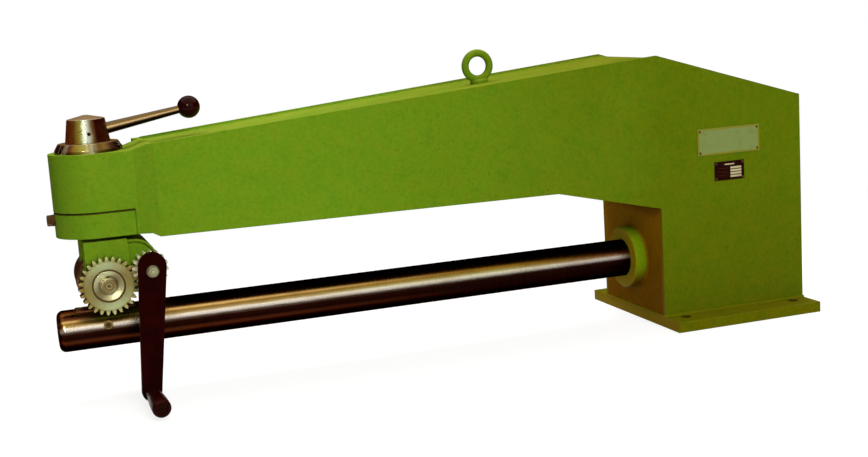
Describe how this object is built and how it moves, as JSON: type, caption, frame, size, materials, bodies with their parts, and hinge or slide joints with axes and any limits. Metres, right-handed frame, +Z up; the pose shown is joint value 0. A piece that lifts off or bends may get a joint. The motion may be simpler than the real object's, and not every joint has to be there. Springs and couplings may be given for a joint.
{
  "type": "sheet metal seaming machine",
  "caption": "Bench machine that closes seams in sheet metal: a cranked pressure roller on a lever-fed quill over a long round mandrel, on a welded box arm.",
  "frame": {"origin": "centre of the base bolt pattern on the underside of the base plate", "axes": "+X from the roller head back to the column, +Y away from the crank, +Z up"},
  "size_m": [1.4709, 0.411, 0.5612],
  "materials": {
    "green_paint": "satin",
    "bright_steel": "polished",
    "gear_steel": "machined",
    "dark_steel": "blackened",
    "black_paint": "gloss",
    "black_plastic": "gloss",
    "bronze": "machined",
    "plate_metal": "satin"
  },
  "bodies": {
    "frame": {"base_plate": "green_paint", "column_side_near": "green_paint", "column_side_far": "green_paint", "column_front_plate": "green_paint", "column_back_plate": "green_paint", "column_top_plate": "green_paint", "arm_side_near": "green_paint", "arm_side_far": "green_paint", "arm_top_plate": "green_paint", "arm_bottom_plate": "green_paint", "throat_plate": "green_paint", "head_casting": "green_paint", "quill_cap": "green_paint", "cap_screws": "dark_steel", "quill_guide_screw": "bright_steel", "guide_lock_nut": "bright_steel", "ring_nut": "dark_steel", "mandrel_flange": "green_paint", "mandrel": "bright_steel", "mandrel_insert": "dark_steel", "insert_screws": "bright_steel", "mandrel_rear_socket": "green_paint", "clamp_washer": "bright_steel", "clamp_bolt": "bright_steel", "counter_roller_axle": "bright_steel", "lifting_eyebolt": "green_paint", "eyebolt_boss": "green_paint", "name_plate": "plate_metal", "data_plate": "dark_steel", "plate_rivets": "bright_steel"},
    "lever": {"feed_screw": "bright_steel", "lever_hub": "bright_steel", "lever_set_screw": "dark_steel", "lever_rod": "bright_steel", "lever_knob": "black_plastic"},
    "holder": {"quill": "bright_steel", "quill_bolt": "dark_steel", "roller_holder": "green_paint", "roller_bush_near": "bronze", "roller_bush_far": "bronze", "crank_bush_near": "bronze", "crank_bush_far": "bronze"},
    "roller": {"pressure_roller": "bright_steel", "roller_key": "dark_steel", "roller_shaft": "bright_steel", "drive_gear": "gear_steel", "gear_key": "dark_steel", "gear_nut": "gear_steel", "shaft_collar": "dark_steel"},
    "crank": {"crank_shaft": "bright_steel", "pinion": "gear_steel", "pinion_key": "dark_steel", "crank_arm": "black_paint", "crank_washer": "bright_steel", "crank_bolt": "bright_steel", "crank_collar": "dark_steel", "grip_spindle": "bright_steel"},
    "grip": {"crank_grip": "black_plastic"},
    "counter": {"counter_roller": "bright_steel", "counter_bush": "bronze"}
  },
  "joints": [
    {"name": "lever_turn", "type": "hinge", "parent": "frame", "child": "lever", "pos_m": [-1.20625, 0, 0.468], "axis": [0, 0, 1], "range_deg": [0, 225]},
    {"name": "quill_slide", "type": "slide", "parent": "frame", "child": "holder", "axis": [0, 0, 1], "range_m": [0, 0.005]},
    {"name": "crank_turn", "type": "hinge", "parent": "holder", "child": "crank", "pos_m": [-1.13106, 0, 0.23135], "axis": [0, 1, 0], "continuous": true},
    {"name": "roller_turn", "type": "hinge", "parent": "holder", "child": "roller", "pos_m": [-1.20325, 0, 0.2101], "axis": [0, 1, 0], "continuous": true},
    {"name": "grip_turn", "type": "hinge", "parent": "crank", "child": "grip", "pos_m": [-1.15129, -0.17, 0.02132], "axis": [0, 1, 0], "continuous": true},
    {"name": "counter_turn", "type": "hinge", "parent": "frame", "child": "counter", "pos_m": [-1.20625, 0, 0.131], "axis": [0, 1, 0], "continuous": true}
  ],
  "couplings": [
    {"joint": "quill_slide", "follows": "lever_turn", "m_per_rad": 0.0012732},
    {"joint": "roller_turn", "follows": "crank_turn", "ratio": -0.59259}
  ]
}
